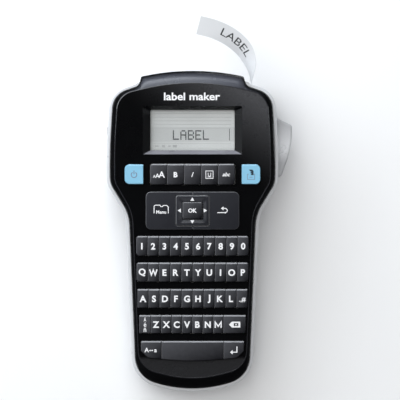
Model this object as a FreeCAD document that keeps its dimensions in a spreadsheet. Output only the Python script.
"""Handheld label maker, as a parametric FreeCAD document that writes one STEP file per sub-part.

Everything is designed in the face frame, in millimetres: +Z is the normal of the keyboard face, whose plane is z = 0,
+Y runs from the tail of the handle to the top of the head, and +X is to the right. At the end every sub-part is
turned by the lean angle and lifted, so that the machine lies on its back on the plane Z = 0.
"""
import FreeCAD, Part
import math
import os
from FreeCAD import Matrix, Placement, Rotation, Vector

doc = FreeCAD.newDocument("LabelMaker")

# ---------------------------------------------------------------------------------------------------------------
# Driving dimensions: name, value in millimetres or degrees, what it is
# ---------------------------------------------------------------------------------------------------------------
DIMENSIONS = [
    ("lean_angle", 6.0, "tilt of the keyboard face above the table"),
    ("head_depth", 51.0, "face to table at the top of the head"),
    ("head_depth_y", 95.0, "where head_depth is measured"),
    ("origin_y", 88.5, "the frame's origin lies under this point, on the flat rear face"),
    ("neck_half", 32.2, "half width of the brow at the top"),
    ("neck_y", 98.0, "brow corners"),
    ("brow_peak_y", 104.6, "corner of the brow's polygon, before rounding"),
    ("shoulder_x", 50.6, "shoulder corner"),
    ("shoulder_y", 86.6, "shoulder corner"),
    ("head_half", 52.9, "half width of the head"),
    ("waist_y", 30.0, "where the head starts to narrow"),
    ("grip_half", 40.5, "half width at the top of the handle"),
    ("grip_y", 10.4, "top of the handle"),
    ("tail_half", 36.2, "half width at the tail's corner"),
    ("tail_y", -93.0, "tail's corner"),
    ("tail_peak_y", -103.5, "corner of the tail's polygon, before rounding"),
    ("cover_depth", 12.0, "face to the joint between the shells"),
    ("wall", 2.1, "shell wall"),
    ("floor_step", 6.2, "how far the head's walls are stepped in near its floor"),
    ("rim_step", 1.8, "how far the rear shell stands proud of the front cover"),
    ("split_depth", 22.0, "face to the top of the battery door"),
    ("grip_depth", 31.0, "thickness of the handle"),
    ("bay_front_y", -12.0, "front edge of the battery door"),
    ("key_top", 1.2, "keys stand this far above the face"),
    ("key_gap", 0.3, "clearance round a key"),
    ("key_skirt", 0.8, "a key's flange reaches this far past its cap"),
    ("key_tab_inset", 1.3, "a key's flange is this much narrower than its cap, on each side"),
    ("key_flange_top", -2.5, "upper side of a key's flange"),
    ("key_flange", 0.7, "thickness of a key's flange"),
    ("key_edge", 0.35, "rounding of a key's upper edges"),
    ("key_slant", 0.85, "width of the slanting facet along a key's upper side"),
    ("key_slant_drop", 0.5, "how far that facet drops"),
    ("key_corner", 0.35, "rounding of a key's upright edges"),
    ("row_corner", 1.6, "rounding of the outer corners of the digit row and the style row"),
    ("digit_half", 35.6, "half length of the digit row"),
    ("digit_y", -9.5, "centre of the digit row"),
    ("digit_tall", 12.3, "height of the digit keys"),
    ("upper_half", 35.4, "half length of the upper letter row"),
    ("upper_y", -26.1, "centre of the upper letter row"),
    ("upper_tall", 12.0, "height of the upper letter row"),
    ("middle_half", 34.8, "half length of the middle letter row"),
    ("middle_y", -42.7, "centre of the middle letter row"),
    ("middle_tall", 11.7, "height of the middle letter row"),
    ("lower_half", 33.7, "half length of the lower letter row"),
    ("lower_y", -59.0, "centre of the lower letter row"),
    ("lower_tall", 11.4, "height of the lower letter row"),
    ("lower_key", 6.56, "pitch of the lower letter keys"),
    ("accent_key", 7.3, "width of the accent key"),
    ("space_half", 32.6, "half length of the space row"),
    ("space_y", -69.7, "upper edge of the space row"),
    ("space_tall", 10.6, "height of the space row at its ends"),
    ("space_sag", 1.2, "how much further down the middle of the space row reaches"),
    ("shift_key", 13.0, "width of the case key and of the enter key"),
    ("style_half", 26.8, "half length of the style row"),
    ("style_y", 35.8, "centre of the style row and of the two blue keys"),
    ("style_tall", 13.0, "height of the style keys"),
    ("blue_x", 37.0, "centre of a blue key"),
    ("blue_wide", 11.7, "width of a blue key"),
    ("blue_tall", 12.3, "height of a blue key"),
    ("blue_corner", 3.0, "outer corners of a blue key"),
    ("nav_y", 12.8, "centre of the navigation cluster"),
    ("nav_half", 29.5, "half length of the navigation cluster"),
    ("nav_tall", 23.7, "height of the navigation cluster"),
    ("nav_corner", 3.2, "corners of the navigation cluster"),
    ("nav_top", 0.8, "top of the menu and back keys"),
    ("ring_wide", 20.9, "width of the arrow ring"),
    ("ring_tall", 19.0, "height of the arrow ring"),
    ("ok_wide", 12.3, "width of the centre key"),
    ("ok_tall", 10.4, "height of the centre key"),
    ("screen_y", 63.6, "centre of the display"),
    ("bezel_wide", 63.0, "display recess at the face"),
    ("bezel_tall", 30.7, "display recess at the face"),
    ("glass_wide", 53.4, "display recess at the window"),
    ("glass_tall", 25.8, "display recess at the window"),
    ("bezel_depth", 3.2, "depth of the display recess"),
    ("bezel_floor", 0.8, "floor of the display recess, round the window"),
    ("plate_z", -21.6, "underside of the mechanism plate"),
    ("plate_thick", 1.6, "mechanism plate"),
    ("tape_x", 37.5, "plane that the tape runs in"),
    ("tape_wide", 12.0, "tape width"),
    ("tape_thick", 0.2, "tape with its backing"),
    ("tape_z", -31.0, "middle of the tape"),
    ("cut_y", 84.8, "plane of the cutter blade"),
    ("exit_y", 93.2, "where the label leaves the shell"),
    ("roller_y", 70.0, "print line"),
    ("roller_r", 3.0, "platen roller radius"),
    ("shaft_r", 1.2, "platen shaft radius"),
    ("motor_x", 23.0, "motor axis"),
    ("motor_y", 28.0, "motor axis"),
    ("motor_r", 8.0, "motor radius"),
    ("gear_module", 0.6, "module of every gear"),
    ("gear_thick", 2.0, "gear face width"),
    ("lever_x", 48.5, "cutter lever's pivot"),
    ("lever_y", 36.5, "cutter lever's pivot"),
    ("lever_pin_r", 1.5, "cutter lever's pivot pin"),
    ("cell_r", 5.2, "battery cell radius, size AAA"),
    ("cell_long", 43.3, "battery cell without its positive button"),
    ("cell_pitch", 10.7, "battery cell spacing"),
    ("cell_z", -22.6, "battery cell axis"),
    ("cell_y", -46.0, "middle of the cells"),
    ("hinge_y", 80.8, "cassette door hinge axis"),
    ("hinge_up", 2.0, "cassette door hinge axis above the table plane"),
    ("hinge_pin_r", 0.9, "stub at each end of the cassette door's barrel"),
    ("door_half", 36.9, "half width of the cassette door"),
    ("door_y", 22.4, "free edge of the cassette door"),
]
sheet = doc.addObject("Spreadsheet::Sheet", "Dimensions")
for line, (alias, number, meaning) in enumerate(DIMENSIONS, start=1):
    sheet.set(f"A{line}", alias)
    sheet.set(f"B{line}", str(number))
    sheet.setAlias(f"B{line}", alias)
    sheet.set(f"C{line}", meaning)
doc.recompute()

CLEAR = 0.3          # gap between pieces that move past each other
LETTERS = ("qwertyuiop", "asdfghjkl", "zxcvbnm")


def size(alias):
    """A driving dimension, as a number."""
    return float(sheet.get(alias))


LEAN = math.radians(size("lean_angle"))
TABLE_Z = -size("head_depth") + size("head_depth_y") * math.tan(LEAN)   # table plane at y = 0, in the face frame


def table_z(y, above=0.0):
    """Height in the face frame of the table plane at y, or of the plane that much above it."""
    return TABLE_Z - math.tan(LEAN) * y + above


TILT = Rotation(Vector(1, 0, 0), size("lean_angle"))
ORIGIN = Vector(0, size("origin_y"), table_z(size("origin_y")))
LIE_DOWN = Placement(TILT.multVec(ORIGIN) * -1, TILT)


# ---------------------------------------------------------------------------------------------------------------
# Helpers
# ---------------------------------------------------------------------------------------------------------------
def rounded_wire(corners, z=0.0):
    """Closed wire round (x, y, radius) corners: straight sides joined by tangent arcs."""
    stops = []
    for i, (x, y, radius) in enumerate(corners):
        corner = Vector(x, y, z)
        before = Vector(corners[i - 1][0], corners[i - 1][1], z) - corner
        after = Vector(corners[(i + 1) % len(corners)][0], corners[(i + 1) % len(corners)][1], z) - corner
        before.normalize()
        after.normalize()
        half = before.getAngle(after) / 2
        reach = radius / math.tan(half)
        middle = (before + after).normalize() * (radius / math.sin(half) - radius)
        stops.append((corner + before * reach, corner + middle, corner + after * reach))
    edges = []
    for i, (start, middle, end) in enumerate(stops):
        edges.append(Part.Arc(start, middle, end).toShape())
        following = stops[(i + 1) % len(stops)][0]
        edges.append(Part.LineSegment(end, following).toShape())
    return Part.Wire(edges)


def inset(corners, distances):
    """The corners with side i, from corner i to the next one clockwise, moved inwards by distances[i]."""
    moved = []
    for i, (x, y, radius) in enumerate(corners):
        before, after = corners[i - 1], corners[(i + 1) % len(corners)]
        u = Vector(x - before[0], y - before[1]).normalize()
        v = Vector(after[0] - x, after[1] - y).normalize()
        a, b = distances[i - 1], distances[i]
        turn = u.x * v.y - u.y * v.x
        inward_u, inward_v = Vector(u.y, -u.x), Vector(v.y, -v.x)
        # The new corner lies a inside the side before it and b inside the side after it.
        along = (b - a * inward_u.dot(inward_v)) / inward_v.dot(u) if abs(turn) > 1e-9 else 0.0
        shift = inward_u * a + u * along
        mean = (a + b) / 2
        moved.append((x + shift.x, y + shift.y, max(0.4, radius - mean if turn < 0 else radius + mean)))
    return moved


def mirrored(half):
    """Right-hand corners from the top centre to the bottom centre, closed by their mirror images."""
    return half + [(-x, y, radius) for x, y, radius in reversed(half[1:-1])]


def blended(first, second, share):
    return [tuple(a + (b - a) * share for a, b in zip(one, other)) for one, other in zip(first, second)]


def leaned(corners, above):
    """The outline laid in the plane parallel to the table, keeping its x and y."""
    shear = Matrix()
    shear.A32 = -math.tan(LEAN)
    shear.A34 = TABLE_Z + above
    return rounded_wire(corners).transformGeometry(shear)


def prism(corners, low, high):
    return Part.Face(rounded_wire(corners, low)).extrude(Vector(0, 0, high - low))


def block(x0, x1, y0, y1, z0, z1):
    return Part.makeBox(x1 - x0, y1 - y0, z1 - z0, Vector(x0, y0, z0))


def rod(x, y, z0, z1, radius):
    return Part.makeCylinder(radius, z1 - z0, Vector(x, y, z0))


def tube(x, y, z0, z1, outer, inner):
    return rod(x, y, z0, z1, outer).cut(rod(x, y, z0, z1, inner))


def rectangle_corners(x, y, wide, tall, radii):
    """Corners from the upper left, clockwise; radii is one number or four."""
    four = radii if isinstance(radii, (list, tuple)) else [radii] * 4
    ends = [(-1, 1), (1, 1), (1, -1), (-1, -1)]
    return [(x + sx * wide / 2, y + sy * tall / 2, r) for (sx, sy), r in zip(ends, four)]


def under_table(above=0.0):
    """Everything below the table plane, or below the plane that much above it, as a tool."""
    tool = Part.makeBox(400, 400, 60, Vector(-200, -200, above - 60))
    tool.Placement = LIE_DOWN.inverse()
    return tool


def feature(label, shape):
    """A sub-part whose shape is worked out by Part's own functions."""
    made = doc.addObject("Part::Feature", label)
    made.Label = label
    made.Shape = shape.removeSplitter() if shape.ShapeType != "Compound" else shape
    return made


def compound(label, members):
    made = doc.addObject("Part::Compound", label)
    made.Label = label
    made.Links = members
    return made


def bound(made, **expressions):
    """Binds properties to cells of the sheet."""
    for name, expression in expressions.items():
        made.setExpression(name, expression)
    return made


def cylinder(label, radius, height, x, y, z, axis=Vector(0, 0, 1)):
    made = doc.addObject("Part::Cylinder", label)
    made.Label = label
    bound(made, Radius=radius, Height=height)
    made.Placement = Placement(Vector(x, y, z), Rotation(Vector(0, 0, 1), axis))
    return made


def box(label, length, width, height, x, y, z):
    """A box whose low corner is at x, y, z."""
    made = doc.addObject("Part::Box", label)
    made.Label = label
    bound(made, Length=length, Width=width, Height=height)
    made.Placement = Placement(Vector(x, y, z), Rotation())
    return made


def fused(label, members):
    made = doc.addObject("Part::MultiFuse", label)
    made.Label = label
    made.Shapes = members
    made.Refine = True
    return made


def cut_from(label, base, tool):
    made = doc.addObject("Part::Cut", label)
    made.Label = label
    made.Base = base
    made.Tool = tool
    return made


def body_with_sketch(label, z):
    """A PartDesign body and its first sketch, on the XY plane at height z, an expression."""
    body = doc.addObject("PartDesign::Body", label)
    body.Label = label
    return body, sketch_in(body, z)


def sketch_in(body, z, role="XY_Plane"):
    """A sketch on one of the body's origin planes, moved along its normal by z."""
    sketch = body.newObject("Sketcher::SketchObject", body.Label + "_sketch")
    plane = next(f for f in body.Origin.OriginFeatures if f.Role == role)
    sketch.AttachmentSupport = [(plane, "")]
    sketch.MapMode = "FlatFace"
    sketch.setExpression("AttachmentOffset.Base.z", z)
    return sketch


def sketch_rectangle(sketch, wide, tall):
    """A rectangle centred on the sketch's origin, its sides bound to the expressions wide and tall."""
    import Sketcher

    ends = [Vector(-1, 1), Vector(1, 1), Vector(1, -1), Vector(-1, -1)]
    first = sketch.GeometryCount
    for i in range(4):
        sketch.addGeometry(Part.LineSegment(ends[i], ends[(i + 1) % 4]))
    for i in range(4):
        sketch.addConstraint(Sketcher.Constraint("Coincident", first + i, 2, first + (i + 1) % 4, 1))
        sketch.addConstraint(Sketcher.Constraint("Vertical" if i % 2 else "Horizontal", first + i))
    sketch.addConstraint(Sketcher.Constraint("Symmetric", first, 1, first + 2, 1, -1, 1))
    for side, expression in ((first, wide), (first + 1, tall)):
        index = sketch.addConstraint(Sketcher.Constraint("Distance", side, 2.0))
        sketch.setExpression(f"Constraints[{index}]", expression)


def pad(body, sketch, length):
    made = body.newObject("PartDesign::Pad", body.Label + "_pad")
    made.Profile = sketch
    made.setExpression("Length", length)
    return made


def slanted(body, wide, half_tall, top):
    """Pockets a slanting facet along the upper side of a key, so that it catches the light."""
    across, drop = size("key_slant"), size("key_slant_drop")
    profile = sketch_in(body, f"-({wide}) / 2 - 1", "YZ_Plane")
    start = Vector(half_tall - across, top)
    slope = Vector(across, -drop) * (1.5 / across)
    corners = [start, start + slope, start + slope + Vector(0, 3), start + Vector(0, 1)]
    for i, corner in enumerate(corners):
        profile.addGeometry(Part.LineSegment(corner, corners[(i + 1) % 4]))
    made = body.newObject("PartDesign::Pocket", body.Label + "_slant")
    made.Profile = profile
    made.setExpression("Length", f"{wide} + 2")
    made.Reversed = True
    return made


def fillet(body, base, wanted, radius):
    """Rounds the edges of base that wanted(edge) picks."""
    doc.recompute()
    names = [f"Edge{i}" for i, edge in enumerate(base.Shape.Edges, start=1) if wanted(edge)]
    made = body.newObject("PartDesign::Fillet", body.Label + "_fillet")
    made.Base = (base, names)
    made.setExpression("Radius", radius)
    return made


def upright(edge):
    low, high = edge.BoundBox.ZMin, edge.BoundBox.ZMax
    return high - low > 1.5 and edge.BoundBox.XLength < 0.01 and edge.BoundBox.YLength < 0.01


# ---------------------------------------------------------------------------------------------------------------
# Outlines, clockwise from the top centre
# ---------------------------------------------------------------------------------------------------------------
COVER_OUTLINE = mirrored([
    (0, size("brow_peak_y"), 150),
    (size("neck_half"), size("neck_y"), 0.8),
    (size("neck_half") + 2.2, size("neck_y") - 5.8, 3),
    (size("shoulder_x"), size("shoulder_y"), 13),
    (size("head_half"), 50, 380),
    (size("head_half") - 0.3, size("waist_y"), 14),
    (size("grip_half"), size("grip_y"), 28),
    (size("tail_half"), size("tail_y"), 18),
    (0, size("tail_peak_y"), 80),
])
FACE_OUTLINE = mirrored([
    (0, size("brow_peak_y") - 8.6, 130),
    (size("neck_half") - 1.2, size("neck_y") - 8.4, 20),
    (size("neck_half") + 2.8, size("neck_y") - 9.4, 20),
    (size("shoulder_x") - 3.6, size("shoulder_y") - 0.8, 12),
    (size("head_half") - 3.6, 50, 360),
    (size("head_half") - 3.9, size("waist_y") + 1, 11),
    (size("grip_half") - 2.7, size("grip_y") + 1.2, 30),
    (size("tail_half") - 2.5, size("tail_y") + 6.5, 14),
    (0, size("tail_peak_y") + 8.3, 70),
])


def sides(top, neck, shoulder, flank, waist, grip, tail):
    """One distance for each side of an outline, the same on both halves."""
    half = [top, neck, shoulder, flank, flank, waist, grip, tail]
    return half + half[::-1]


def even(distance):
    return sides(*[distance] * 7)


# The rear shell follows the cover's outline, one step outside it, except under the brow.
RIM_OUTLINE = inset(COVER_OUTLINE, sides(2.6, *[-size("rim_step")] * 6))


def head_outline(distance=0.0, back=0.0):
    """The head's part of the rim outline, closed across the waist; back moves that closing side towards the top."""
    rim = inset(RIM_OUTLINE, even(distance))
    waist, grip = rim[5], rim[6]
    y = size("grip_y") - 1.5 + back
    x = waist[0] + (grip[0] - waist[0]) * (waist[1] - y) / (waist[1] - grip[1])
    return rim[:6] + [(x, y, 7.0), (-x, y, 7.0)] + rim[-5:]


def grip_outline(distance=0.0):
    """The handle's part of the rim outline, closed inside the head."""
    rim = inset(RIM_OUTLINE, sides(*[distance] * 4, distance + 0.2, distance, distance))
    waist, grip = rim[5], rim[6]
    y = size("waist_y") - 4
    x = waist[0] + (grip[0] - waist[0]) * (waist[1] - y) / (waist[1] - grip[1])
    return [(x, y, 1.0)] + rim[6:11] + [(-x, y, 1.0)]


SCREWS = [(27.0, 88.0), (-27.0, 88.0), (39.5, 24.0), (-39.5, 24.0), (20.0, -89.0), (-20.0, -89.0)]
TAIL_SCREWS = SCREWS[4:]
HEAD_SCREWS = SCREWS[:4]


# ---------------------------------------------------------------------------------------------------------------
# Casing
# ---------------------------------------------------------------------------------------------------------------
def cover_skin(distance, low, high):
    """The cover's rounded skin, inset by distance, from z = low up to z = high."""
    outer, face = inset(COVER_OUTLINE, even(distance)), inset(FACE_OUTLINE, even(distance))
    steep, wires = math.radians(72), []
    for step in range(5):
        u = steep * step / 4
        share = (1 - math.cos(u)) / (1 - math.cos(steep))
        wires.append(rounded_wire(blended(outer, face, share), low + (high - low) * math.sin(u) / math.sin(steep)))
    return Part.makeLoft(wires, True, False)


def key_opening(x, y, wide, tall, radius):
    gap = size("key_gap")
    return prism(rectangle_corners(x, y, wide + 2 * gap, tall + 2 * gap, radius), -4, 2)


def space_row_corners(gap=0.0):
    half, top = size("space_half") + gap, size("space_y") + gap
    low = size("space_y") - size("space_tall") - gap
    return [(-half, top, 0.6), (half, top, 0.6), (half, low + 4.4, 2.5), (half - 4.6, low, 5.0),
            (0, low - 2 * size("space_sag"), 150), (-half + 4.6, low, 5.0), (-half, low + 4.4, 2.5)]


def front_cover():
    depth, wall = size("cover_depth"), size("wall")
    skin = cover_skin(0, -depth, 0)
    hollow = cover_skin(wall, -depth - 1, -wall)
    shell = skin.cut(hollow)
    screen_y, deep = size("screen_y"), size("bezel_depth")
    floor = size("bezel_floor")
    bezel = block(-33.6, 33.6, screen_y - 17.4, screen_y + 17.4, -deep - floor - 4.4, -wall + 0.2)
    recess = block(-28.35, 28.35, screen_y - 14.55, screen_y + 14.55, -20, -deep - floor)
    bosses = [tube(x, y, -depth, -wall + 0.2, 3.3, 1.0) for x, y in SCREWS]
    shell = shell.fuse([bezel] + bosses)
    funnel = Part.makeLoft([
        rounded_wire(rectangle_corners(0, screen_y, size("bezel_wide"), size("bezel_tall"), 1.2), 0.01),
        rounded_wire(rectangle_corners(0, screen_y, size("glass_wide"), size("glass_tall"), 0.8), -deep),
    ], True, True)
    window = prism(rectangle_corners(0, screen_y, size("glass_wide"), size("glass_tall"), 0.8), -deep - 1, -deep + 0.01)
    rows = [("digit", size("row_corner")), ("upper", size("row_corner")), ("middle", 0.8), ("lower", 0.8)]
    openings = [key_opening(0, size(f"{row}_y"), 2 * size(f"{row}_half"), size(f"{row}_tall"), corner)
                for row, corner in rows]
    openings += [
        key_opening(0, size("style_y"), 2 * size("style_half"), size("style_tall"), size("row_corner")),
        key_opening(0, size("nav_y"), 2 * size("nav_half"), size("nav_tall"), size("nav_corner") + CLEAR),
        prism(space_row_corners(size("key_gap")), -4, 2),
    ]
    for side in (-1, 1):
        tight, wide = 0.8, size("blue_corner") + CLEAR
        radii = [wide, tight, tight, wide] if side < 0 else [tight, wide, wide, tight]
        openings.append(key_opening(side * size("blue_x"), size("style_y"), size("blue_wide"), size("blue_tall"), radii))
    return feature("front_cover", shell.cut([funnel, window, recess] + openings))


def head_bottom():
    """The head's outside below the split, rounded towards the table."""
    rounding = [(9.0, 0.0, 3.5), (4.4, 0.9, 6.0), (1.5, 3.0, 8.4), (0.0, 6.5, 11.0)]
    wires = [leaned(head_outline(inward, back), up) for up, inward, back in rounding]
    upper = Part.makeLoft([rounded_wire(head_outline(), -size("split_depth")), wires[0]], True, True)
    return upper.fuse(Part.makeLoft(wires, True, False))


def head_hollow():
    """The head's inside: straight walls, stepped in where the outside is rounded, over a flat floor."""
    wall, step = size("wall"), size("floor_step")
    wide = prism(head_outline(wall, wall), -60, -size("split_depth")).cut(under_table(9.2))
    narrow = prism(head_outline(step, wall + 8.5), -60, -30).cut(under_table(wall))
    return wide.fuse(narrow)


def grip_bottom(distance, raised):
    """The handle below the split, inset and raised in the same way."""
    inside = distance > 0
    rounding = [(8.0, 0.0), (5.6, 0.5), (2.6, 1.9), (0.7, 4.3), (0.0, 7.0)]
    low = -size("grip_depth") + raised
    reach = (size("grip_depth") - raised - size("split_depth")) / 8.0
    wires = [rounded_wire(grip_outline(inward + distance), low + up * reach) for up, inward in rounding]
    return Part.makeLoft(wires, True, inside)


def door_gap():
    """The opening in the head's underside that the cassette door closes."""
    half = size("door_half") + 0.6
    corners = [(-half, size("hinge_y") + 2.3, 1), (half, size("hinge_y") + 2.3, 1),
               (half, size("door_y") - 0.6, 3), (-half, size("door_y") - 0.6, 3)]
    return prism(corners, -60, -38)


def lever_slot():
    return block(46, 70, 32.4, 72.6, -35.0, -21.9)


def rear_housing():
    depth, split, wall = size("cover_depth"), size("split_depth"), size("wall")
    bay_front = size("bay_front_y")
    lip = Part.makeLoft([rounded_wire(inset(RIM_OUTLINE, even(0.6)), -depth - 0.05),
                         rounded_wire(RIM_OUTLINE, -depth - 0.7)], True, True)
    band = prism(RIM_OUTLINE, -split, -depth - 0.7)
    grip = grip_bottom(0, 0).common(block(-60, 60, bay_front, 60, -60, 0))
    shell = band.fuse([lip, head_bottom(), grip])
    hollow = prism(inset(RIM_OUTLINE, even(wall)), -split - 0.05, -depth + 1)
    grip_hollow = grip_bottom(wall, wall).common(block(-60, 60, bay_front + wall, 60, -60, 0))
    shell = shell.cut([hollow, head_hollow(), grip_hollow])
    # The tray's floor closes the battery bay off from the electronics; the bulkhead is the bay's front wall.
    tray = prism(inset(RIM_OUTLINE, even(wall - 0.2)), -15.4, -13.8)
    tray = tray.common(block(-60, 60, -110, bay_front + wall, -30, 0))
    bulkhead = block(-38.5, 38.5, bay_front, bay_front + wall, -28.5, -13.8)
    catches = [block(x - 6.6, x + 6.6, bay_front - 1, bay_front + 9, -28.3, -25.4) for x in (-20, 20)]
    wells = [rod(x, y, table_z(y, 1.0), -15.4, 3.6) for x, y in HEAD_SCREWS]
    deep = [rod(x, y, table_z(y) - 2, -17.6, 2.6) for x, y in HEAD_SCREWS]
    through = [rod(x, y, -18, -10, 1.35) for x, y in SCREWS]
    # Lugs for the cassette door's stubs, and bosses under the roller shaft and the lever's pin.
    hinge_y, hinge_z = size("hinge_y"), table_z(size("hinge_y"), size("hinge_up"))
    lugs = [block(side * 39.6 - 2.0, side * 39.6 + 2.0, hinge_y - 2.2, hinge_y + 4.0, hinge_z - 1.0, hinge_z + 2.2)
            for side in (-1, 1)]
    stub_holes = Part.makeCylinder(size("hinge_pin_r") + 0.05, 84, Vector(-42, hinge_y, hinge_z), Vector(1, 0, 0))
    lever_x, lever_y, pin_r = size("lever_x"), size("lever_y"), size("lever_pin_r")
    roller_x, roller_y = size("tape_x") + 0.1 + size("roller_r"), size("roller_y")
    bosses = [rod(roller_x, roller_y, table_z(roller_y, 1.0), -39.6, 2.6),
              rod(lever_x, lever_y, table_z(lever_y, 1.0), -38.2, 3.0)]
    shell = shell.fuse([tray, bulkhead] + wells + lugs + bosses)
    seats = [rod(roller_x, roller_y, -42.5, -39, size("shaft_r") + 0.05), rod(lever_x, lever_y, -41.0, -38, pin_r + 0.02),
             rod(lever_x, lever_y, -38.2, -30, 4.0)]
    exit_slot = block(size("tape_x") - 0.9, size("tape_x") + 0.9, size("cut_y") + 3.6, 100,
                      size("tape_z") - 7, size("tape_z") + 7)
    socket = Part.makeCylinder(4.3, 10, Vector(-60, 62, -26), Vector(1, 0, 0))
    thumb = Part.makeCylinder(9, 30, Vector(-15, size("door_y") - 9.5, table_z(size("door_y"), -5.5)), Vector(1, 0, 0))
    cuts = deep + through + catches + seats + [door_gap(), stub_holes, lever_slot(), exit_slot, socket, thumb]
    return feature("rear_housing", shell.cut(cuts))


def cassette_door():
    half, hinge_y, free = size("door_half"), size("hinge_y"), size("door_y")
    axis_z = table_z(hinge_y, size("hinge_up"))
    # Drawn flat in the table's own frame: its plate lies 0.5 mm clear of the table.
    plate = prism([(-half, hinge_y / math.cos(LEAN), 0.5), (half, hinge_y / math.cos(LEAN), 0.5),
                   (half, free, 2.5), (-half, free, 2.5)], 0, 2.0)
    ribs = [block(x - 0.6, x + 0.6, free + 10, hinge_y - 8, 2.0, 4.0) for x in (-24, -8, 8, 24)]
    grips = [block(-12, 12, free + 3.4 + 2 * i, free + 4.2 + 2 * i, -0.35, 0.3) for i in range(3)]
    catch = block(-6, 6, free + 1.0, free + 2.6, 2.0, 6.5)
    door = plate.fuse(ribs + grips + [catch])
    shear = Matrix()
    shear.A32 = -math.tan(LEAN)
    shear.A34 = TABLE_Z + 0.5
    door = door.transformGeometry(shear)
    barrel = Part.makeCylinder(1.5, 2 * half - 1.0, Vector(-half + 0.5, hinge_y, axis_z), Vector(1, 0, 0))
    stubs = Part.makeCylinder(size("hinge_pin_r"), 2 * half + 5.0, Vector(-half - 2.5, hinge_y, axis_z), Vector(1, 0, 0))
    past = block(-half - 1, half + 1, hinge_y, hinge_y + 20, axis_z - 20, axis_z + 20)
    return feature("cassette_door", door.cut(past).fuse([barrel, stubs]))


def battery_door():
    wall, front = size("wall"), size("bay_front_y") - 0.2
    outer = grip_bottom(0, 0)
    inner = grip_bottom(wall, wall)
    bay = block(-60, 60, -120, front, -60, -size("split_depth") - 0.15)
    shell = outer.cut(inner).common(bay)
    # Lips that run inside the housing's walls, and a lattice of ribs under the cells.
    lip = prism(inset(RIM_OUTLINE, even(wall + 0.25)), -24.0, -18.5).cut(prism(inset(RIM_OUTLINE, even(wall + 1.35)), -25, -18))
    lip = lip.common(block(-60, 60, -64, front - 2, -60, 0))
    hold = prism(inset(RIM_OUTLINE, even(wall - 0.2)), -24.0, -22.4).cut(prism(inset(RIM_OUTLINE, even(wall + 1.35)), -25, -18))
    hold = hold.common(block(-60, 60, -64, front - 2, -60, 0))
    tongues = [block(x - 6, x + 6, front - 3, front + 5.5, -27.6, -26.0).fuse(
        block(x - 6, x + 6, front - 3, front - 0.6, -29.5, -26.0)) for x in (-20, 20)]
    grooves = [block(-14, 14, front - 8 - 2.4 * i, front - 7 - 2.4 * i, -size("grip_depth") - 1, -size("grip_depth") + 0.6)
               for i in range(5)]
    return feature("battery_door", shell.fuse([lip, hold] + tongues).cut(grooves))


# ---------------------------------------------------------------------------------------------------------------
# Keys
# ---------------------------------------------------------------------------------------------------------------
def key(label, x, y, wide, tall, rounded=(), top="Dimensions.key_top", big="Dimensions.row_corner"):
    """A key cap with its flange. wide and tall are expressions; rounded lists the corners, as signs, that get big."""
    body, outline = body_with_sketch(label, "Dimensions.key_flange_top")
    sketch_rectangle(outline, wide, tall)
    last = pad(body, outline, f"{top} - Dimensions.key_flange_top")
    doc.recompute()
    if rounded:
        last = fillet(body, last, lambda e: upright(e) and at_corner(e, rounded), big)
    last = fillet(body, last, lambda e: upright(e) and not at_corner(e, rounded), "Dimensions.key_corner")
    doc.recompute()
    peak = last.Shape.BoundBox.ZMax
    last = fillet(body, last, lambda e: e.BoundBox.ZMin > peak - 0.01, "Dimensions.key_edge")
    doc.recompute()
    before, box_now = last.Shape.Volume, last.Shape.BoundBox
    last = slanted(body, wide, box_now.YMax, peak)
    doc.recompute()
    if not 0 < before - last.Shape.Volume < 0.1 * before:
        raise SystemExit(f"the facet of {label} is cut on the wrong side")
    flange = sketch_in(body, "Dimensions.key_flange_top")
    sketch_rectangle(flange, f"{wide} - 2 * Dimensions.key_tab_inset", f"{tall} + 2 * Dimensions.key_skirt")
    last = pad(body, flange, "Dimensions.key_flange")
    last.Reversed = True
    body.Tip = last
    body.Placement = Placement(Vector(x, y, 0), Rotation())
    return body


def at_corner(edge, signs):
    """True if an upright edge stands at one of the corners in signs, such as (-1, 1) for the upper left."""
    centre = edge.BoundBox.Center
    return (int(math.copysign(1, centre.x)), int(math.copysign(1, centre.y))) in signs


def key_row(names, row, lead=0.0):
    """Equal keys side by side along a row. Returns them in order."""
    count = len(names)
    pitch = 2 * size(f"{row}_half") / count
    wide = f"2 * Dimensions.{row}_half / {count} - Dimensions.key_gap"
    keys = []
    for i, name in enumerate(names):
        ends = [(-1, 1), (-1, -1)] if i == 0 else [(1, 1), (1, -1)] if i == count - 1 else []
        if row not in ("digit", "upper", "style"):
            ends = []
        x = -size(f"{row}_half") + pitch * (i + 0.5) + lead
        keys.append(key(name, x, size(f"{row}_y"), wide, f"Dimensions.{row}_tall", ends))
    return keys


def lower_row():
    """The lower letter row: accent key, seven letters, backspace. Returns the first eight, and backspace."""
    half, first, pitch = size("lower_half"), size("accent_key"), size("lower_key")
    accent = key("accent_key", -half + first / 2, size("lower_y"), "Dimensions.accent_key - Dimensions.key_gap",
                 "Dimensions.lower_tall")
    letters = [key(f"key_{letter}", -half + first + pitch * (i + 0.5), size("lower_y"),
                   "Dimensions.lower_key - Dimensions.key_gap", "Dimensions.lower_tall")
               for i, letter in enumerate(LETTERS[2])]
    start = -half + first + pitch * len(letters)
    erase = key("backspace_key", (start + half) / 2, size("lower_y"),
                f"2 * Dimensions.lower_half - Dimensions.accent_key - {len(letters)} * Dimensions.lower_key"
                " - Dimensions.key_gap", "Dimensions.lower_tall")
    return [accent] + letters, erase


def facet(y, top):
    """Tool that cuts the slanting facet along the upper side, at y, of a key with that top."""
    across, drop = size("key_slant"), size("key_slant_drop")
    ring = [Vector(-60, y - across, top), Vector(-60, y + across, top - 2 * drop), Vector(-60, y + across, top + 2),
            Vector(-60, y - across, top + 2)]
    return Part.Face(Part.makePolygon(ring + ring[:1])).extrude(Vector(120, 0, 0))


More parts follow.
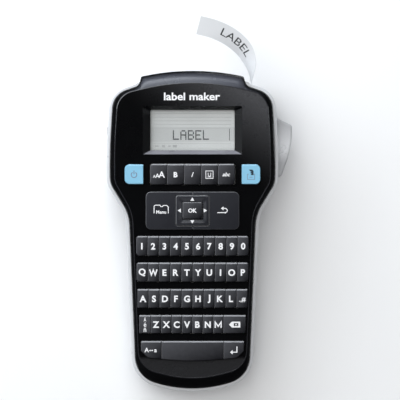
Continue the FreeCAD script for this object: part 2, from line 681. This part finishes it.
def space_row_key(label, x0, x1):
    """A piece of the space row between x0 and x1; the row's lower edge is a shallow arc."""
    gap, top = size("key_gap") / 2, size("key_top")
    strip = block(x0 + gap, x1 - gap, -90, -60, -10, 10)
    cap = prism(space_row_corners(), size("key_flange_top"), top).common(strip)
    cap = cap.makeFillet(size("key_edge"), [e for e in cap.Edges if e.BoundBox.ZMin > top - 0.01])
    cap = cap.cut(facet(size("space_y"), top))
    low, skirt = size("key_flange_top") - size("key_flange"), size("key_skirt")
    up, down = Vector(0, skirt, 0), Vector(0, -skirt, 0)
    flange = prism(space_row_corners(), low, size("key_flange_top"))
    wide_flange = flange.fuse([flange.translated(up), flange.translated(down)]).common(strip)
    return feature(label, cap.fuse(wide_flange))


def half_plate_key(label, side):
    """The menu key, left, or the back key, right: half of the cluster's plate, round the arrow ring."""
    gap, top = size("key_gap"), size("nav_top")
    plate = prism(rectangle_corners(0, size("nav_y"), 2 * size("nav_half"), size("nav_tall"), size("nav_corner")),
                  size("key_flange_top"), top)
    hole = prism(rectangle_corners(0, size("nav_y"), size("ring_wide") + 2 * gap, size("ring_tall") + 2 * gap, 1.6), -6, 4)
    reach = block(gap / 2, 60, -40, 80, -10, 10) if side > 0 else block(-60, -gap / 2, -40, 80, -10, 10)
    cap = plate.cut(hole).common(reach)
    cap = cap.makeFillet(size("key_edge"), [e for e in cap.Edges if e.BoundBox.ZMin > top - 0.01])
    low, skirt = size("key_flange_top") - size("key_flange"), size("key_skirt")
    flange = prism(rectangle_corners(0, size("nav_y"), 2 * (size("nav_half") + skirt), size("nav_tall") + 2 * skirt,
                                     size("nav_corner")), low, size("key_flange_top"))
    return feature(label, cap.fuse(flange.cut(hole).common(reach)))


def arrow_ring():
    """Four-way ring that rocks round the centre key."""
    gap, top = size("key_gap"), size("key_top") + 0.2
    outer = prism(rectangle_corners(0, size("nav_y"), size("ring_wide"), size("ring_tall"), 1.4), -3.2, top)
    hole = prism(rectangle_corners(0, size("nav_y"), size("ok_wide") + 2 * gap + 0.1, size("ok_tall") + 2 * gap + 0.1, 1.0),
                 -6, 4)
    outer = outer.makeFillet(0.5, [e for e in outer.Edges if e.BoundBox.ZMin > top - 0.01])
    dish = Part.makeLoft([
        rounded_wire(rectangle_corners(0, size("nav_y"), size("ok_wide") + 5.4, size("ok_tall") + 5.4, 2.0), top + 0.01),
        rounded_wire(rectangle_corners(0, size("nav_y"), size("ok_wide") + 1.6, size("ok_tall") + 1.6, 1.4), top - 0.6),
    ], True, True)
    return feature("arrow_ring", outer.cut([hole, dish]))


def ok_key():
    top = size("key_top") + 0.4
    cap = prism(rectangle_corners(0, size("nav_y"), size("ok_wide"), size("ok_tall"), 0.8), -3.2, top)
    return feature("ok_key", cap.makeFillet(0.5, [e for e in cap.Edges if e.BoundBox.ZMin > top - 0.01]))


def blue_key(label, side):
    signs = [(side, 1), (side, -1)]
    return key(label, side * size("blue_x"), size("style_y"), "Dimensions.blue_wide", "Dimensions.blue_tall", signs,
               big="Dimensions.blue_corner")


# ---------------------------------------------------------------------------------------------------------------
# Display and electronics
# ---------------------------------------------------------------------------------------------------------------
def display_window():
    body, sketch = body_with_sketch("display_window", "-Dimensions.bezel_depth - Dimensions.bezel_floor - 1.2")
    sketch_rectangle(sketch, "Dimensions.glass_wide + 3", "Dimensions.glass_tall + 3")
    body.Tip = pad(body, sketch, "1.2")
    body.Placement = Placement(Vector(0, size("screen_y"), 0), Rotation())
    return body


def display_panel():
    """Liquid crystal cell on its backing, a smaller sheet of glass on a larger one."""
    body, sketch = body_with_sketch("display_panel", "-Dimensions.bezel_depth - Dimensions.bezel_floor - 3.6")
    sketch_rectangle(sketch, "Dimensions.glass_wide + 3", "Dimensions.glass_tall + 3")
    pad(body, sketch, "1.2")
    upper = sketch_in(body, "-Dimensions.bezel_depth - Dimensions.bezel_floor - 2.4")
    sketch_rectangle(upper, "Dimensions.glass_wide + 1", "Dimensions.glass_tall + 1")
    body.Tip = pad(body, upper, "1.1")
    body.Placement = Placement(Vector(0, size("screen_y"), 0), Rotation())
    return body


BOARD_TOP = -5.8
BOARD_THICK = 1.6
MAT_TOP, MAT_LOW = -4.4, -5.4


def key_centres():
    """Where the rubber mat's contact pads lie, one under each key."""
    spots = []
    for row, count in (("digit", 10), ("upper", 10), ("middle", 10), ("style", 5)):
        pitch = 2 * size(f"{row}_half") / count
        spots += [(-size(f"{row}_half") + pitch * (i + 0.5), size(f"{row}_y")) for i in range(count)]
    spots += [(-size("lower_half") + size("accent_key") + size("lower_key") * (i + 0.5), size("lower_y")) for i in range(7)]
    spots += [(-size("lower_half") + 3.6, size("lower_y")), (size("lower_half") - 7, size("lower_y"))]
    spots += [(-26, -75.5), (0, -75.5), (26, -75.5), (0, size("nav_y")), (-20, size("nav_y")), (20, size("nav_y"))]
    spots += [(0, size("nav_y") + side * 7.6) for side in (-1, 1)] + [(side * 8.4, size("nav_y")) for side in (-1, 1)]
    spots += [(side * 35.5, size("style_y")) for side in (-1, 1)]
    return spots


def keypad_mat():
    sheet_shape = block(-32.0, 32.0, -81.0, 44.5, MAT_LOW, MAT_TOP).fuse(block(-38, 38, 29, 43, MAT_LOW, MAT_TOP))
    return feature("keypad_mat", sheet_shape.fuse([rod(x, y, MAT_LOW - 0.3, MAT_LOW + 0.1, 1.3) for x, y in key_centres()]))


def circuit_board():
    """Main board, wider under the two blue keys, with its processor, driver chips, capacitors and connectors, which are soldered on."""
    under = BOARD_TOP - BOARD_THICK
    main = box("board_main", "65", "126.5", str(BOARD_THICK), -32.5, -81.5, under)
    wings = box("board_wings", "77", "15", str(BOARD_THICK), -38.5, 28.5, under)
    chips = [("processor", 12, 12, 1.4, -6, -2), ("memory", 6, 8, 1.1, 14, 0), ("motor_driver", 8, 5, 1.5, 20, 24),
             ("connector", 16, 4, 2.6, -20, 38), ("head_connector", 12, 4, 2.6, 18, 38), ("crystal", 3.2, 8, 2.0, -20, 0)]
    parts = [fused("board_blank", [main, wings])]
    for name, wide, tall, high, x, y in chips:
        parts.append(box(name, str(wide), str(tall), str(high), x - wide / 2, y - tall / 2, under - high))
    parts += [cylinder(f"capacitor_{i}", "2.5", "5.2", -27 + 6.5 * i, 26, under - 5.2) for i in range(2)]
    return compound("circuit_board", parts)


def power_socket():
    """Barrel socket for a mains adapter, its mouth in the left flank."""
    x0, y, z = -52.0, 62.0, -26.0
    shell = block(x0 + 1.3, x0 + 12.4, y - 5, y + 5, z - 5, z + 5)
    collar = Part.makeCylinder(4.0, 4.0, Vector(x0 - 2.2, y, z), Vector(1, 0, 0))
    mouth = Part.makeCylinder(2.8, 12.2, Vector(x0 - 3, y, z), Vector(1, 0, 0))
    pin = Part.makeCylinder(1.0, 9.6, Vector(x0 - 0.4, y, z), Vector(1, 0, 0))
    return feature("power_socket", shell.fuse(collar).cut(mouth).fuse(pin))


def batteries():
    """Six cells side by side, alternating, each with its positive button."""
    cells = []
    for i in range(6):
        x, up = (i - 2.5) * size("cell_pitch"), 1 if i % 2 == 0 else -1
        start = Vector(x, size("cell_y") - up * size("cell_long") / 2, size("cell_z"))
        can = doc.addObject("Part::Cylinder", f"cell_{i + 1}_can")
        bound(can, Radius="Dimensions.cell_r", Height="Dimensions.cell_long")
        can.Placement = Placement(start, Rotation(Vector(0, 0, 1), Vector(0, up, 0)))
        button = doc.addObject("Part::Cylinder", f"cell_{i + 1}_button")
        button.Radius, button.Height = 1.8, 1.0
        button.Placement = Placement(start + Vector(0, up * size("cell_long"), 0), Rotation(Vector(0, 0, 1), Vector(0, up, 0)))
        cells.append(fused(f"cell_{i + 1}", [can, button]))
    return compound("batteries", cells)


def battery_contacts():
    """Plates at the two ends of the bay, with a bent leaf that reaches out to each cell's end."""
    plate_y, cell_end = size("cell_long") / 2 + 2.6, size("cell_long") / 2
    solids = []
    for side in (-1, 1):
        for pair in range(3):
            middle = (2 * pair - 2) * size("cell_pitch")
            y = size("cell_y") + side * plate_y
            plate = block(middle - 8.6, middle + 8.6, y - 0.2, y + 0.2, size("cell_z") - 4, size("cell_z") + 4)
            for i in (2 * pair, 2 * pair + 1):
                x, button_side = (i - 2.5) * size("cell_pitch"), 1 if i % 2 == 0 else -1
                reach = plate_y - cell_end - 0.1 - (1.0 if side == button_side else 0.0)
                bend = [(-3.2, 0), (-1.2, -reach), (1.2, -reach), (3.2, 0), (2.8, 0), (1.0, -reach + 0.25),
                        (-1.0, -reach + 0.25), (-2.8, 0)]
                ring = [Vector(x + a, y + side * b, size("cell_z") - 2.5) for a, b in bend]
                plate = plate.fuse(Part.Face(Part.makePolygon(ring + ring[:1])).extrude(Vector(0, 0, 5)))
            solids.append(plate)
    return feature("battery_contacts", Part.makeCompound(solids))


# ---------------------------------------------------------------------------------------------------------------
# Print mechanism
# ---------------------------------------------------------------------------------------------------------------
PLATE_TOP = size("plate_z") + size("plate_thick")
LEVEL_LOW = PLATE_TOP + 0.5             # gears next to the plate
LEVEL_HIGH = LEVEL_LOW + size("gear_thick") + 0.6
TEETH = {"pinion": 12, "first_wheel": 40, "first_pinion": 14, "second": 36, "platen": 20, "ribbon": 24}


def pitch_radius(name):
    return size("gear_module") * TEETH[name] / 2


def meet(a, ra, b, rb, side):
    """The point ra from a and rb from b, on the left (side = 1) or right of the line from a to b."""
    along = b - a
    d = along.Length
    u = along * (1 / d)
    x = (d * d + ra * ra - rb * rb) / (2 * d)
    h = math.sqrt(ra * ra - x * x)
    return a + u * x + Vector(-u.y, u.x) * (h * side)


MOTOR = Vector(size("motor_x"), size("motor_y"))
ROLLER = Vector(size("tape_x") + 0.1 + size("roller_r"), size("roller_y"))
FIRST = MOTOR + (ROLLER - MOTOR).normalize() * (pitch_radius("pinion") + pitch_radius("first_wheel"))
SECOND = meet(FIRST, pitch_radius("first_pinion") + pitch_radius("second"),
              ROLLER, pitch_radius("second") + pitch_radius("platen"), 1)
RIBBON_ANGLE = math.radians(160)
RIBBON = SECOND + Vector(math.cos(RIBBON_ANGLE), math.sin(RIBBON_ANGLE)) * (pitch_radius("second") + pitch_radius("ribbon"))


def gear_blank(name, low, high, bore, phase):
    """Involute spur gear. phase is the angle of the middle of one tooth; flanks are thinned for backlash."""
    module, teeth = size("gear_module"), TEETH[name]
    pressure, backlash = math.radians(20), 0.09
    pitch = module * teeth / 2
    base, outer, root = pitch * math.cos(pressure), pitch + module * 0.92, pitch - module * 1.25

    def involute(angle):
        return math.tan(angle) - angle

    half_pitch = math.pi / (2 * teeth) - backlash / (2 * pitch) + involute(pressure)
    start = max(base, root)
    points = []
    for tooth in range(teeth):
        middle = phase + 2 * math.pi * tooth / teeth
        flank = []
        for step in range(5):
            radius = start + (outer - start) * step / 4
            half = half_pitch - involute(math.acos(min(1.0, base / radius)))
            flank.append((radius, half))
        if start > root + 1e-6:
            flank.insert(0, (root, flank[0][1]))
        for radius, half in flank:
            points.append(Vector(radius * math.cos(middle - half), radius * math.sin(middle - half), low))
        for radius, half in reversed(flank):
            points.append(Vector(radius * math.cos(middle + half), radius * math.sin(middle + half), low))
    disc = Part.Face(Part.makePolygon(points + points[:1])).extrude(Vector(0, 0, high - low))
    return disc.cut(rod(0, 0, low - 1, high + 1, bore)) if bore else disc


def meshed_phase(first, first_phase, second, direction):
    """The phase of a gear that puts a gap of it round a tooth of the first, along direction from first to second."""
    turn = 2 * math.pi
    share = ((direction - first_phase) * TEETH[first] / turn) % 1.0
    return direction + math.pi - (0.5 - share) * turn / TEETH[second]


def heading(a, b):
    return math.atan2(b.y - a.y, b.x - a.x)


PHASE = {"pinion": heading(MOTOR, FIRST)}
PHASE["first_wheel"] = meshed_phase("pinion", PHASE["pinion"], "first_wheel", heading(MOTOR, FIRST))
PHASE["first_pinion"] = heading(FIRST, SECOND)
PHASE["second"] = meshed_phase("first_pinion", PHASE["first_pinion"], "second", heading(FIRST, SECOND))
PHASE["platen"] = meshed_phase("second", PHASE["second"], "platen", heading(SECOND, ROLLER))
PHASE["ribbon"] = meshed_phase("second", PHASE["second"], "ribbon", heading(SECOND, RIBBON))


def gear(label, name, low, centre, bore):
    made = feature(label, gear_blank(name, low, low + size("gear_thick"), bore, PHASE[name]))
    made.Placement = Placement(Vector(centre.x, centre.y, 0), Rotation())
    return made


def first_gear():
    """Compound reduction gear: a large wheel on the upper level and a small pinion on the lower one."""
    wheel = gear_blank("first_wheel", LEVEL_HIGH, LEVEL_HIGH + size("gear_thick"), 0, PHASE["first_wheel"])
    pinion = gear_blank("first_pinion", LEVEL_LOW, LEVEL_LOW + size("gear_thick"), 0, PHASE["first_pinion"])
    neck = rod(0, 0, LEVEL_LOW, LEVEL_HIGH + 0.1, 3.0)
    bore = rod(0, 0, LEVEL_LOW - 1, LEVEL_HIGH + 5, 1.05)
    webs = [rod(7.4 * math.cos(a), 7.4 * math.sin(a), LEVEL_HIGH - 1, LEVEL_HIGH + 5, 2.1)
            for a in (math.pi / 3 * i for i in range(6))]
    made = feature("first_reduction_gear", wheel.fuse([pinion, neck]).cut([bore] + webs))
    made.Placement = Placement(Vector(FIRST.x, FIRST.y, 0), Rotation())
    return made


def ribbon_spindle():
    """Take-up gear with the splined spindle that turns the cassette's ribbon core."""
    wheel = gear_blank("ribbon", LEVEL_LOW, LEVEL_LOW + size("gear_thick"), 0, PHASE["ribbon"])
    shank = rod(0, 0, -35.5, LEVEL_LOW + 0.1, 1.9)
    splines = [block(-0.4, 0.4, 1.5, 2.5, -35.5, -24.0) for _ in range(6)]
    for i, spline in enumerate(splines):
        spline.rotate(Vector(0, 0, 0), Vector(0, 0, 1), 60 * i)
    made = feature("ribbon_spindle", wheel.fuse([shank] + splines))
    made.Placement = Placement(Vector(RIBBON.x, RIBBON.y, 0), Rotation())
    return made


def chassis_plate():
    """Mechanism plate with the gear posts, the blade's anvil and the carriage's guide."""
    z, thick = size("plate_z"), size("plate_thick")
    corners = [(-20, 81.5, 3), (31.5, 81.5, 2), (32.5, 88.6, 2), (44.5, 88.6, 4), (47.0, 82, 4), (46.5, 46, 3),
               (51.6, 43, 2), (51.6, 31, 3), (44.0, 30.2, 2), (34.2, 28.6, 2), (32.0, 17.0, 3), (-20, 17.0, 3)]
    plate = prism(corners, z, z + thick)
    posts = [rod(FIRST.x, FIRST.y, z, LEVEL_HIGH + size("gear_thick") + 0.6, 1.0),
             rod(SECOND.x, SECOND.y, z, LEVEL_LOW + size("gear_thick") + 0.5, 1.0)]
    seats = [rod(FIRST.x, FIRST.y, z, LEVEL_LOW - 0.15, 2.4), rod(SECOND.x, SECOND.y, z, LEVEL_LOW - 0.15, 2.4)]
    tape_x, cut = size("tape_x"), size("cut_y")
    anvil = block(32.6, tape_x - 0.5, cut - 2.6, cut + 2.8, -38.0, z).cut(block(33.4, 45, cut - 0.45, cut + 0.45, -40, z))
    holes = [rod(MOTOR.x, MOTOR.y, z - 1, z + 4, 2.4), rod(RIBBON.x, RIBBON.y, z - 1, z + 4, 1.98),
             rod(ROLLER.x, ROLLER.y, z - 1, z + 4, size("shaft_r") + 0.05),
             rod(size("lever_x"), size("lever_y"), z - 1, z + 4, size("lever_pin_r") + 0.02)]
    window = prism(rectangle_corners(-4, 60, 20, 26, 3), z - 1, z + 4)
    return feature("chassis_plate", plate.fuse(posts + seats + [anvil]).cut(holes + [window]))


def drive_motor():
    """Round can motor hung under the plate, with its boss and shaft."""
    can = cylinder("motor_can", "Dimensions.motor_r", "17.6", MOTOR.x, MOTOR.y, size("plate_z") - 17.7)
    boss = cylinder("motor_boss", "2.2", "1.2", MOTOR.x, MOTOR.y, size("plate_z") - 0.2)
    shaft = cylinder("motor_shaft", "0.75", "10.8", MOTOR.x, MOTOR.y, size("plate_z") - 0.2)
    end = cylinder("motor_end", "3.2", "1.0", MOTOR.x, MOTOR.y, size("plate_z") - 18.6)
    return fused("drive_motor", [can, boss, shaft, end])


def motor_pinion():
    return gear("motor_pinion", "pinion", LEVEL_HIGH, MOTOR, 0.8)


def platen_roller():
    """Rubber sleeve that feeds the tape."""
    outer = cylinder("sleeve_outside", "Dimensions.roller_r", "14", ROLLER.x, ROLLER.y, size("tape_z") - 7)
    inner = cylinder("sleeve_inside", "Dimensions.shaft_r", "16", ROLLER.x, ROLLER.y, size("tape_z") - 8)
    return cut_from("platen_roller", outer, inner)


def platen_shaft():
    low, high = -42.2, LEVEL_LOW + size("gear_thick") + 0.6
    return cylinder("platen_shaft", "Dimensions.shaft_r", str(high - low), ROLLER.x, ROLLER.y, low)


def print_head():
    """Heat sink with the heater strip on the side that faces the tape."""
    x, y = size("tape_x") - 0.4, size("roller_y")
    sink = block(x - 3.4, x - 0.7, y - 4.5, y + 4.5, size("tape_z") - 7.5, size("plate_z"))
    fins = [block(x - 3.5, x - 2.4, y - 3.8 + 2.0 * i, y - 3.0 + 2.0 * i, -40, -24) for i in range(4)]
    strip = block(x - 0.7, x - 0.1, y - 3.2, y + 3.2, size("tape_z") - 6.8, size("tape_z") + 6.8)
    bead = Part.makeCylinder(0.9, 13.0, Vector(x - 0.9, y, size("tape_z") - 6.5)).common(
        block(x - 0.7, x + 0.05, y - 2, y + 2, -60, 0))
    return feature("print_head", sink.cut(fins).fuse([strip, bead]))


CASSETTE_LOW, CASSETTE_TOP = -39.5, -22.4
SPOOL = Vector(-3.0, 56.0)


def cassette_case():
    """Tape cassette: a hollow case with a notch for the print head and a mouth where the tape leaves."""
    corners = [(-22.0, 76.4, 3), (30.6, 76.4, 1), (30.6, 62.0, 1), (36.0, 62.0, 1), (36.0, 38.0, 4), (-22.0, 38.0, 6)]
    outer = prism(corners, CASSETTE_LOW, CASSETTE_TOP)
    inner = prism(inset(corners, [1.2] * 6), CASSETTE_LOW + 1.2, CASSETTE_TOP - 1.2)
    hub = tube(SPOOL.x, SPOOL.y, CASSETTE_LOW, CASSETTE_TOP, 4.0, 2.6)
    spindle_way = rod(RIBBON.x, RIBBON.y, CASSETTE_LOW - 1, CASSETTE_TOP + 1, 3.4)
    mouth = block(33.0, 40, 60, 64, size("tape_z") - 6.4, size("tape_z") + 6.4)
    hub_way = rod(SPOOL.x, SPOOL.y, CASSETTE_LOW - 1, CASSETTE_TOP + 1, 2.6)
    shape = outer.cut(inner).fuse(hub).cut([spindle_way, mouth, hub_way])
    return feature("cassette_case", shape)


def tape_roll():
    """The wound label tape on its hub."""
    roll = cylinder("wound_tape", "14.2", "Dimensions.tape_wide", SPOOL.x, SPOOL.y, size("tape_z") - size("tape_wide") / 2)
    eye = cylinder("roll_eye", "4.3", "16", SPOOL.x, SPOOL.y, size("tape_z") - 8)
    return cut_from("tape_roll", roll, eye)


def tape_feed():
    """The tape between the cassette's mouth and the blade, on edge."""
    thick = size("tape_thick")
    return box("tape_feed", "Dimensions.tape_thick", "Dimensions.cut_y - 60.8", "Dimensions.tape_wide",
               size("tape_x") - thick / 2, 60.3, size("tape_z") - size("tape_wide") / 2)


def label_sections():
    """(point, width direction, face normal) along the label: it leaves on edge, then curls left and twists face up."""
    start = Vector(size("tape_x"), size("cut_y") + 0.5, size("tape_z"))
    exit_point = Vector(size("tape_x"), size("exit_y"), size("tape_z"))
    stations = [(start, 0), (exit_point, 0)]
    route = [(37.6, 100.0, 14), (36.6, 107.6, 40), (32.2, 116.4, 66), (24.0, 123.6, 82), (14.2, 128.4, 90), (3.8, 131.2, 92)]
    stations += [(Vector(x, y, size("tape_z") + 0.045 * (y - 93) ** 1.15), twist) for x, y, twist in route]
    sections = []
    for i, (point, twist) in enumerate(stations):
        before, after = stations[max(0, i - 1)][0], stations[min(len(stations) - 1, i + 1)][0]
        along = (after - before).normalize()
        up = Vector(0, 0, 1)
        across = along.cross(up).normalize()
        up = across.cross(along).normalize()
        angle = math.radians(twist)
        width = up * math.cos(angle) + across * math.sin(angle)
        sections.append((point, width, along.cross(width).normalize()))
    return sections


def label_strip():
    """The printed label that sticks out of the machine."""
    half, thick = size("tape_wide") / 2, size("tape_thick") / 2
    wires = []
    for point, width, normal in label_sections():
        ring = [point + width * (a * half) + normal * (b * thick) for a, b in ((-1, -1), (1, -1), (1, 1), (-1, 1))]
        wires.append(Part.makePolygon(ring + ring[:1]))
    straight = Part.makeLoft(wires[:2], True, True)
    curl = Part.makeLoft(wires[1:], True, False)
    return feature("label_strip", straight.fuse(curl))


# ---------------------------------------------------------------------------------------------------------------
# Cutter
# ---------------------------------------------------------------------------------------------------------------
LEVER_LOW, LEVER_HIGH = -34.4, -22.3


def cutter_lever():
    """Wedge-shaped lever in the right flank; its finger inside pushes the blade's carriage."""
    x, y = size("lever_x"), size("lever_y")
    corners = [(49.9, 71.6, 0.6), (54.4, 71.4, 2.0), (63.4, 67.0, 1.8), (63.0, 55.0, 60), (60.9, 46.5, 30), (56.6, 34.4, 3.0),
               (47.0, 33.2, 2.6), (45.4, 38.0, 2.0), (50.6, 46.0, 6), (49.6, 60.0, 6)]
    blade_arm = prism(corners, LEVER_LOW, LEVER_HIGH)
    crown = blade_arm.makeFillet(1.5, [e for e in blade_arm.Edges
                                       if e.BoundBox.ZLength < 0.01 and e.BoundBox.XMin > 54.0])
    finger = prism([(48.9, 77.4, 0.4), (49.8, 77.4, 0.4), (51.0, 70.0, 0.4), (49.6, 68.0, 0.4)], LEVER_LOW + 2, LEVER_HIGH - 2)
    pocket = prism([(51.8, 67.2, 0.5), (54.2, 67.2, 0.5), (54.2, 47.0, 0.5), (52.8, 47.0, 0.5)], LEVER_LOW + 1.6, LEVER_HIGH - 1.6)
    shape = crown.fuse(finger).cut([pocket, rod(x, y, -60, 0, size("lever_pin_r") + 0.05)])
    return feature("cutter_lever", shape)


def cutter_pivot_pin():
    return cylinder("cutter_pivot_pin", "Dimensions.lever_pin_r", "20.6", size("lever_x"), size("lever_y"), -40.9)


def cutter_spring():
    """Torsion spring round the pivot pin, under the lever."""
    pitch, turns = 0.95, 3.0
    wire = Part.Wire(Part.makeHelix(pitch, pitch * turns, 2.4).Edges)
    profile = Part.Wire([Part.makeCircle(0.35, Vector(2.4, 0, 0), Vector(0, 1, 0))])
    coil = wire.makePipeShell([profile], True, False)
    made = feature("cutter_spring", coil)
    made.Placement = Placement(Vector(size("lever_x"), size("lever_y"), -37.75), Rotation())
    return made


def cutter_carriage():
    """Slider that carries the blade across the tape, with the pad that the lever's finger pushes."""
    cut, z = size("cut_y"), size("tape_z")
    block_part = block(42.2, 45.4, cut - 2.4, cut + 2.4, z - 6.5, z + 6.5)
    arm = block(45.0, 47.4, cut - 9.6, cut + 1.0, z - 5.0, z + 5.0)
    slit = block(42.0, 44.0, cut - 0.2, cut + 0.2, z - 7, z + 7)
    return feature("cutter_carriage", block_part.fuse(arm).cut(slit))


def cutter_blade():
    """Steel blade with a ground, slanting edge."""
    cut, z = size("cut_y"), size("tape_z")
    face = Part.Face(Part.makePolygon([Vector(44.0, cut - 0.2, z - 6.4), Vector(44.0, cut - 0.2, z + 6.4),
                                       Vector(40.2, cut - 0.2, z + 6.4), Vector(38.9, cut - 0.2, z - 6.4),
                                       Vector(44.0, cut - 0.2, z - 6.4)]))
    plate = face.extrude(Vector(0, 0.4, 0))
    return feature("cutter_blade", plate)


# ---------------------------------------------------------------------------------------------------------------
# Fasteners and feet
# ---------------------------------------------------------------------------------------------------------------
def case_screws():
    """Self-tapping screws, from the back: pan head, shank and the core of the thread."""
    screws = []
    for i, (x, y) in enumerate(SCREWS, start=1):
        seat = -17.6 if (x, y) in HEAD_SCREWS else -15.4
        head = cylinder(f"screw_{i}_head", "2.4", "1.6", x, y, seat - 1.6)
        shank = cylinder(f"screw_{i}_shank", "0.98", "10.0", x, y, seat - 0.1)
        slot = box(f"screw_{i}_slot", "4.0", "0.7", "0.8", x - 2.0, y - 0.35, seat - 1.7)
        cross = box(f"screw_{i}_cross", "0.7", "4.0", "0.8", x - 0.35, y - 2.0, seat - 1.7)
        screws.append(cut_from(f"screw_{i}", fused(f"screw_{i}_blank", [head, shank]), fused(f"screw_{i}_recess", [slot, cross])))
    return compound("case_screws", screws)


def rubber_feet():
    """Two pads under the tail, cut off level with the table."""
    pads = [rod(side * 20.0, -82.0, -34.5, -size("grip_depth"), 4.5) for side in (-1, 1)]
    return feature("rubber_feet", Part.makeCompound([p.cut(under_table()) for p in pads]))


# ---------------------------------------------------------------------------------------------------------------
# Assembly
# ---------------------------------------------------------------------------------------------------------------
def all_keys():
    digits = key_row([f"key_{digit}" for digit in "1234567890"], "digit")
    upper = compound("upper_letter_keys", key_row([f"key_{letter}" for letter in LETTERS[0]], "upper"))
    names = [f"key_{letter}" for letter in LETTERS[1]] + ["key_symbols"]
    middle = compound("middle_letter_keys", key_row(names, "middle"))
    letters, erase = lower_row()
    lower = compound("lower_letter_keys", letters)
    edge = size("space_half") - size("shift_key")
    space = [space_row_key("case_key", -size("space_half"), -edge), space_row_key("space_key", -edge, edge),
             space_row_key("enter_key", edge, size("space_half"))]
    style_names = ["text_size_key", "bold_key", "italic_key", "frame_key", "underline_key"]
    style = key_row(style_names, "style")
    cluster = [half_plate_key("menu_key", -1), half_plate_key("back_key", 1), arrow_ring(), ok_key()]
    blue = [blue_key("power_key", -1), blue_key("print_key", 1)]
    return digits + [upper, middle, lower, erase] + space + style + cluster + blue


sub_parts = [
    front_cover(), rear_housing(), cassette_door(), battery_door(),
    display_window(), display_panel(), keypad_mat(), circuit_board(), power_socket(),
    batteries(), battery_contacts(), chassis_plate(), drive_motor(), motor_pinion(), first_gear(),
    gear("second_reduction_gear", "second", LEVEL_LOW, SECOND, 1.05),
    gear("platen_gear", "platen", LEVEL_LOW, ROLLER, size("shaft_r")),
    platen_roller(), platen_shaft(), ribbon_spindle(), print_head(), cassette_case(), tape_roll(),
    tape_feed(), label_strip(), cutter_lever(), cutter_pivot_pin(), cutter_spring(), cutter_carriage(),
    cutter_blade(), case_screws(), rubber_feet(),
] + all_keys()
doc.recompute()

failed = [o.Label for o in doc.Objects if "Invalid" in o.State or "Error" in o.State]
if failed:
    raise SystemExit(f"these objects failed: {failed}")
for part in sub_parts:
    if part.Shape.isNull() or not part.Shape.isValid():
        raise SystemExit(f"{part.Label} has no valid shape")
    part.Placement = LIE_DOWN.multiply(part.Placement)
doc.recompute()

os.makedirs("parts", exist_ok=True)
for part in sub_parts:
    part.Shape.exportStep(f"parts/{part.Label}.step")
    print(f"{part.Label}: {len(part.Shape.Solids)} solid(s), {part.Shape.Volume / 1000:.3f} cm3")
print(len(sub_parts), "sub-parts")
